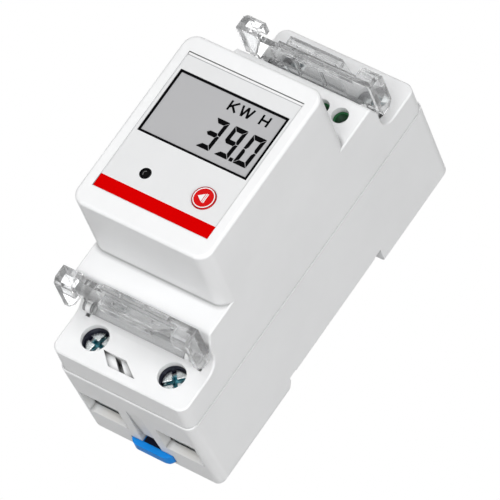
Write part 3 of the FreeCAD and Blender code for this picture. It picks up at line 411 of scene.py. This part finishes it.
def add_piece(name, form, material, body):
    """Turns a finished form into a piece that rides on the given body."""
    bmesh.ops.recalc_face_normals(form, faces=form.faces)
    mesh = bpy.data.meshes.new(name)
    form.to_mesh(mesh)
    form.free()
    mesh.materials.append(material)
    piece = bpy.data.objects.new(name, mesh)
    bpy.context.scene.collection.objects.link(piece)
    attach(piece, body)


def loop_of(form, outline, level):
    """Corners of an outline, pairs of millimetres across and up, at one level."""
    return [form.verts.new((across * MM, level * MM, up * MM)) for across, up in outline]


def join_loops(form, first, second):
    """Quads between two closed loops of as many corners."""
    for turn in range(len(first)):
        after = (turn + 1) % len(first)
        form.faces.new((first[turn], first[after], second[after], second[turn]))


def slab(name, outlines, back, thickness, material, body):
    """Flat closed pieces of one thickness that stand forward from the given level."""
    form = bmesh.new()
    for outline in outlines:
        back_loop = loop_of(form, outline, back)
        front_loop = loop_of(form, outline, back - thickness)
        form.faces.new(back_loop)
        form.faces.new(front_loop)
        join_loops(form, back_loop, front_loop)
    add_piece(name, form, material, body)


def ring_slab(name, centre, radii, back, thickness, material, body):
    """A flat closed ring that stands forward from the given level."""
    form = bmesh.new()
    inner, outer = radii
    front = back - thickness
    loops = [loop_of(form, arc_spots(centre, radius, RING_STEPS), level)
             for radius, level in ((inner, back), (outer, back), (outer, front), (inner, front))]
    for place, loop in enumerate(loops):
        join_loops(form, loop, loops[(place + 1) % len(loops)])
    add_piece(name, form, material, body)


def oblong(left, right, low, high):
    """The corners of an upright rectangle."""
    return [(left, low), (right, low), (right, high), (left, high)]


def arc_spots(centre, radius, steps, arc=(0, 360)):
    """Points of a whole circle, or of an arc in degrees with both of its ends."""
    start, sweep = math.radians(arc[0]), math.radians(arc[1] - arc[0])
    count = steps if arc == (0, 360) else steps + 1
    return [(centre[0] + radius * math.cos(start + sweep * step / steps),
             centre[1] + radius * math.sin(start + sweep * step / steps)) for step in range(count)]


def segment_outlines():
    """The seven strokes of an upright digit, with mitred ends."""
    wide, tall, stroke, gap, corner = DIGIT_WIDTH, DIGIT_HEIGHT, DIGIT_STROKE, DIGIT_GAP, DIGIT_CORNER
    middle, half = tall / 2, DIGIT_BAR / 2
    top = [(gap + corner, tall), (wide - gap - corner, tall), (wide - gap, tall - corner),
           (wide - gap - stroke, tall - DIGIT_BAR), (gap + stroke, tall - DIGIT_BAR),
           (gap, tall - corner)]
    right_upper = [(wide, tall - 2 * gap), (wide, middle + gap), (wide - half, middle + gap),
                   (wide - stroke, middle + half + gap), (wide - stroke, tall - gap - DIGIT_BAR)]
    bar = [(gap, middle), (gap + half, middle + half), (wide - gap - stroke, middle + half),
           (wide - gap - half, middle), (wide - gap - stroke, middle - half), (gap + half, middle - half)]
    return {
        "a": top,
        "b": right_upper,
        "c": [(across, tall - up) for across, up in right_upper],
        "d": [(across, tall - up) for across, up in top],
        "e": [(wide - across, tall - up) for across, up in right_upper],
        "f": [(wide - across, up) for across, up in right_upper],
        "g": bar,
    }


def add_display_digits(ink):
    """The reading on the display, in slanting seven-stroke digits."""
    strokes = segment_outlines()
    outlines = []
    for place, digit in enumerate(READING):
        left = DIGITS_LEFT + place * DIGIT_PITCH
        for stroke in LIT[digit]:
            outlines.append([(left + across + DIGIT_SLANT * up, DIGIT_BASE + up)
                             for across, up in strokes[stroke]])
    point = oblong(POINT_LEFT, POINT_LEFT + DIGIT_STROKE, DIGIT_BASE, DIGIT_BASE + DIGIT_STROKE)
    slab("display_digits", outlines + [point], DISPLAY_FACE, INK, ink, "meter")


def stroke_line(start, end, width):
    """A straight stroke of even width between two points."""
    along = Vector((end[0] - start[0], end[1] - start[1])).normalized() * (width / 2)
    side = Vector((-along.y, along.x))
    return [(start[0] + side.x, start[1] + side.y), (start[0] - side.x, start[1] - side.y),
            (end[0] - side.x, end[1] - side.y), (end[0] + side.x, end[1] + side.y)]


def add_display_unit(ink):
    """The unit of energy above the digits, in plain strokes."""
    outlines = []
    for left, letter in UNIT_LETTERS.items():
        for ends in letter:
            start, end = [(left + across, UNIT_BASE + up) for across, up in ends]
            outlines.append(stroke_line(start, end, UNIT_STROKE))
    slab("display_unit", outlines, DISPLAY_FACE, INK, ink, "meter")


def add_label_print(materials):
    """The red band at the foot of the label, the line and strip at its top, and its pale side edges."""
    half = BAND_HALF_WIDTH
    band = oblong(-half, half, BAND_BOTTOM, BAND_TOP)
    slab("label_band", [band], LABEL_FACE, INK, materials["band_red"], "meter")
    top_line = oblong(-half, half, BORDER_LINE_TOP - LINE_THICK, BORDER_LINE_TOP)
    slab("label_line", [top_line], LABEL_FACE, INK, materials["line_grey"], "meter")
    strip = oblong(-half, half, *EDGE_STRIP_UP)
    strip_foot = LABEL_FACE + EDGE_STRIP_THICK
    slab("label_strip", [strip], strip_foot, EDGE_STRIP_THICK, materials["print_white"],
         "meter")
    inner, outer = LABEL_EDGES
    edges = [oblong(left, right, BAND_TOP, BORDER_LINE_TOP)
             for left, right in ((-outer, -inner), (inner, outer))]
    slab("label_edges", edges, LABEL_FACE, INK, materials["edge_pale"], "meter")


def add_button_face(materials):
    """The rings and the arrow with two bars on the push button."""
    white = materials["print_white"]
    ring_slab("button_rim_ring", BUTTON_CENTRE, BUTTON_RIM_RING, BUTTON_FACE, INK, materials["ring_red"],
              "button")
    ring_slab("button_white_ring", BUTTON_CENTRE, BUTTON_WHITE_RING, BUTTON_FACE, INK, white,
              "button")
    across, up = BUTTON_CENTRE
    arrow = [(across + aside, up + above) for aside, above in ARROW_CORNERS]
    bars = [oblong(across + left, across + left + BAR_WIDTH, up + BAR_UP[0], up + BAR_UP[1])
            for left in BARS_LEFT]
    slab("button_arrow", [arrow] + bars, BUTTON_FACE, INK, white, "button")


def add_lamp_face(materials):
    """The black collar of the pulse lamp, and a painted highlight arc on its lens."""
    ring_slab("lamp_collar", LAMP_CENTRE, LAMP_RING, LABEL_FACE, INK, materials["display_black"],
              "meter")
    inner, outer = [arc_spots(LAMP_CENTRE, radius, GLINT_STEPS, GLINT_ARC) for radius in LAMP_GLINT]
    slab("lamp_glint", [inner + outer[::-1]], LAMP_FACE, INK, materials["glint_grey"],
         "meter")


def turned(outline, centre, turn):
    """An outline about the origin, turned by a number of degrees and moved to the centre."""
    cosine, sine = math.cos(math.radians(turn)), math.sin(math.radians(turn))
    return [(centre[0] + across * cosine - up * sine, centre[1] + across * sine + up * cosine)
            for across, up in outline]


def add_screw_faces(materials):
    """The bright face of each terminal screw, in quarters beside its cross, and a near-black sleeve of
    painted shade in the gap round it.
    """
    cut = SCREW_CUT_HALF
    start = math.degrees(math.asin(cut / SCREW_FACE_RADIUS))
    quarter = [(cut, cut)] + arc_spots((0, 0), SCREW_FACE_RADIUS, QUARTER_STEPS, (start, 90 - start))
    for number, turn in SCREW_TURNS.items():
        node = "terminal_screw_%d" % number
        centre = middle_of(node)
        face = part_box(node)[0].y / MM
        quarters = [turned(quarter, centre, turn + 90 * side) for side in range(4)]
        slab("screw_face_%d" % number, quarters, face, SCREW_FACE_THICK, materials["screw_bright"],
             "meter")
        ring_slab("screw_gap_%d" % number, centre, SHADE_SLEEVE_RADII, face + SHADE_SLEEVE_END, SHADE_SLEEVE_LENGTH,
                  materials["painted_shade_black"], "meter")


def add_pocket_shade(material):
    """A near-black sheet of painted shade inside the blade pocket in the rail clip."""
    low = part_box("din_clip")[0]
    foot = low.z / MM
    pocket = oblong(-POCKET_HALF, POCKET_HALF, foot + POCKET_RISE[0], foot + POCKET_RISE[1])
    slab("clip_pocket_shade_sheet", [pocket], low.y / MM + POCKET_DEPTH, POCKET_FILL, material,
         "rail_clip")


def dress_nodes(materials):
    """Gives every solid the material of its slot in the record, and the screws and the base their own."""
    # the screws get painted shade in their recesses
    recess_shaded_screw_material = screw_metal("screw_zinc_recess_shaded")
    own = {"terminal_screw_%d" % number: recess_shaded_screw_material for number in SCREW_TURNS}
    # the base gets painted shade on the bevel at its seam
    own["base_housing"] = seam_shaded("white_base_seam_shaded", PLASTICS["white_housing"])
    for subpart in frame["record"]["subparts"]:
        node = subpart["node"]
        mesh = frame["nodes"][node].data
        mesh.materials.clear()
        mesh.materials.append(own.get(node) or materials[subpart["material_slot"]])


def add_camera():
    data = bpy.data.cameras.new("camera")
    data.sensor_width = SENSOR_WIDTH
    data.lens = LENS
    data.clip_start = CLIP_START
    data.clip_end = CLIP_END
    camera = bpy.data.objects.new("camera", data)
    right, down, forward = Vector(CAMERA_RIGHT), Vector(CAMERA_DOWN), Vector(CAMERA_FORWARD)
    turn = Matrix((right, -down, -forward)).transposed()
    camera.matrix_world = Matrix.Translation(CAMERA_EYE) @ turn.to_4x4()
    bpy.context.scene.collection.objects.link(camera)
    bpy.context.scene.camera = camera


def add_lamps():
    """Square soft lights that face the meter."""
    for name, (spot, size, power) in LAMPS.items():
        data = bpy.data.lights.new(name, "AREA")
        data.size = size
        data.energy = power
        light = bpy.data.objects.new(name, data)
        facing = (Vector(LAMP_TARGET) - Vector(spot)).to_track_quat("-Z", "Y")
        light.matrix_world = Matrix.Translation(spot) @ facing.to_matrix().to_4x4()
        bpy.context.scene.collection.objects.link(light)


def add_floor():
    mesh = bpy.data.meshes.new("floor")
    half = FLOOR_HALF
    corners = [(-half, -half, 0), (half, -half, 0), (half, half, 0), (-half, half, 0)]
    mesh.from_pydata(corners, [], [(0, 1, 2, 3)])
    floor = bpy.data.objects.new("floor", mesh)
    floor.location.z = FLOOR_HEIGHT
    bpy.context.scene.collection.objects.link(floor)
    material, nodes, links, shader = shader_of("floor_pale")
    drift_colour(nodes, links, shader, FLOOR_COLOUR, FLOOR_SPREAD, FLOOR_DRIFT[0])
    drift_roughness(nodes, links, shader, FLOOR_ROUGH, FLOOR_DRIFT[1])
    mesh.materials.append(material)


def light_world():
    """White to the eye, in mirrors and through the covers, and a soft even light on everything else."""
    world = bpy.data.worlds.new("studio")
    bpy.context.scene.world = world
    world.use_nodes = True
    nodes, links = world.node_tree.nodes, world.node_tree.links
    background = nodes["Background"]
    background.inputs["Color"].default_value = (1.0, 1.0, 1.0, 1.0)
    path = nodes.new("ShaderNodeLightPath")
    seen = path.outputs["Is Camera Ray"]
    for ray in ("Is Glossy Ray", "Is Transmission Ray"):
        seen = arithmetic(nodes, links, "MAXIMUM", seen, path.outputs[ray])
    links.new(between(nodes, links, seen, AMBIENT, 1.0), background.inputs["Strength"])


bpy.context.scene.view_settings.view_transform = "Standard"
add_camera()
light_world()
add_floor()
add_lamps()
materials = make_materials()
dress_nodes(materials)
add_label_print(materials)
add_display_digits(materials["display_black"])
add_display_unit(materials["display_black"])
add_button_face(materials)
add_lamp_face(materials)
add_screw_faces(materials)
add_pocket_shade(materials["painted_shade_black"])
